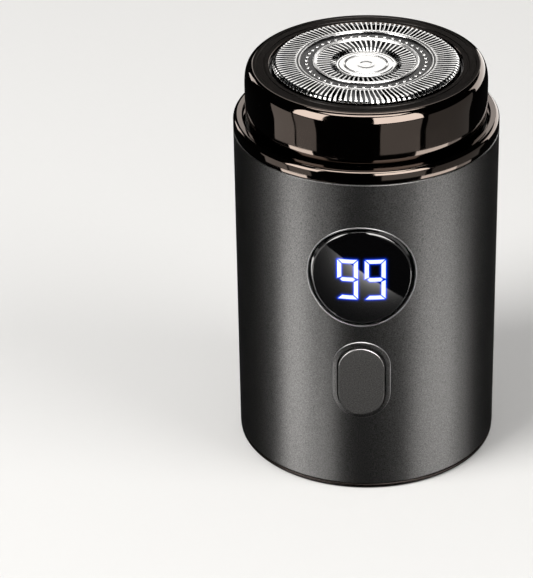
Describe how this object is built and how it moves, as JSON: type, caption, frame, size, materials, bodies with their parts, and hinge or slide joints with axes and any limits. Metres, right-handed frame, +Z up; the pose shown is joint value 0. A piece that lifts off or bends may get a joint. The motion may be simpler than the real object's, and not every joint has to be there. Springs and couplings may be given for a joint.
{
  "type": "electric shaver",
  "caption": "Pocket rotary electric shaver: a metal barrel with a numeric display, a push button and a pull-off round foil head.",
  "frame": {"origin": "centre of the foot pad's underside, on the motor axis, at the height the shaver stands on", "axes": "+Z up along the motor axis towards the foil; -Y is the front with the display and the button; +Y is the rear with the charging socket; +X is the right-hand side seen from the front"},
  "size_m": [0.044, 0.0446, 0.0695],
  "materials": {
    "gunmetal": "fine sandblasted metallic coat",
    "black_chrome": "dark tinted mirror plating",
    "bright_rim": "polished",
    "foil_steel": "polished, slotted",
    "spring_steel": "drawn",
    "screw_steel": "zinc plated",
    "magnet_nickel": "nickel plated",
    "dark_steel": "pressed and blued",
    "display_glass": "gloss black, smoked",
    "display_case": "black moulded",
    "button_metal": "fine sandblasted metallic coat",
    "black_plastic": "moulded",
    "grey_plastic": "moulded acetal",
    "rubber": "matt",
    "board": "solder mask",
    "chip": "epoxy",
    "cell_wrap": "shrink sleeve",
    "copper": "enamelled wire and bare copper",
    "brass": "pressed strip",
    "red_lead": "insulated wire",
    "black_lead": "insulated wire"
  },
  "bodies": {
    "housing": {"barrel": "gunmetal", "display_bezel": "bright_rim", "display_lens": "display_glass", "button_bezel": "button_metal", "port_insert": "black_plastic", "usb_port_shell": "spring_steel", "usb_port_tongue": "black_plastic", "base_cover": "black_chrome", "foot_pad": "rubber", "base_screw_1": "screw_steel", "base_screw_2": "screw_steel", "battery_tray": "black_plastic", "battery_cell": "cell_wrap", "motor_bracket": "black_plastic", "main_board": "board", "led_display": "display_case", "control_chip": "chip", "tact_switch": "dark_steel", "board_screw_1": "screw_steel", "board_screw_2": "screw_steel", "charge_board": "board", "battery_lead_1": "black_lead", "battery_lead_2": "red_lead", "motor_lead_1": "black_lead", "motor_lead_2": "red_lead", "charge_lead": "black_lead", "motor_can": "dark_steel", "motor_end_cap": "grey_plastic", "stator_magnet_1": "dark_steel", "stator_magnet_2": "dark_steel", "motor_terminal_1": "brass", "motor_terminal_2": "brass", "motor_screw_1": "screw_steel", "motor_screw_2": "screw_steel", "collar_ring": "black_chrome", "drive_deck": "black_plastic", "deck_seal": "rubber", "deck_screw_1": "screw_steel", "deck_screw_2": "screw_steel", "deck_screw_3": "screw_steel", "deck_magnet_1": "magnet_nickel", "deck_magnet_2": "magnet_nickel", "deck_magnet_3": "magnet_nickel", "shaft_seal": "rubber"},
    "motor_rotor": {"motor_shaft": "spring_steel", "commutator": "copper", "armature_core": "dark_steel", "armature_winding": "copper", "coupling_spring": "spring_steel"},
    "coupling": {"drive_coupling": "grey_plastic"},
    "head": {"head_cap": "black_chrome", "head_base": "black_plastic", "keeper_ring": "foil_steel", "float_spring": "spring_steel"},
    "cutting_unit": {"foil_frame": "black_plastic", "foil": "foil_steel"},
    "cutter": {"cutter_blades": "foil_steel", "cutter_hub": "grey_plastic"},
    "button": {"button_cap": "button_metal"},
    "switch_plunger": {"switch_plunger": "black_plastic"}
  },
  "joints": [
    {"name": "motor_spin", "type": "hinge", "parent": "housing", "child": "motor_rotor", "pos_m": [0, 0, 0.039], "axis": [0, 0, 1], "continuous": true},
    {"name": "coupling_float", "type": "slide", "parent": "motor_rotor", "child": "coupling", "axis": [0, 0, 1], "range_m": [-0.0008, 0], "deforming": ["coupling_spring"]},
    {"name": "head_lift", "type": "slide", "parent": "housing", "child": "head", "axis": [0, 0, 1], "range_m": [0, 0.024]},
    {"name": "foil_float", "type": "slide", "parent": "head", "child": "cutting_unit", "axis": [0, 0, 1], "range_m": [-0.0008, 0], "stiffness_N_per_m": 600, "springref_m": 0.0006, "deforming": ["float_spring"]},
    {"name": "cutter_spin", "type": "hinge", "parent": "cutting_unit", "child": "cutter", "pos_m": [0, 0, 0.066], "axis": [0, 0, 1], "continuous": true},
    {"name": "button_press", "type": "slide", "parent": "housing", "child": "button", "axis": [0, 1, 0], "range_m": [0, 0.0005], "stiffness_N_per_m": 3000, "springref_m": -0.0003},
    {"name": "plunger_press", "type": "slide", "parent": "housing", "child": "switch_plunger", "axis": [0, 1, 0], "range_m": [0, 0.0005]}
  ],
  "couplings": [
    {"joint": "cutter_spin", "follows": "motor_spin", "ratio": 1},
    {"joint": "coupling_float", "follows": "foil_float", "ratio": 1},
    {"joint": "plunger_press", "follows": "button_press", "ratio": 1}
  ]
}
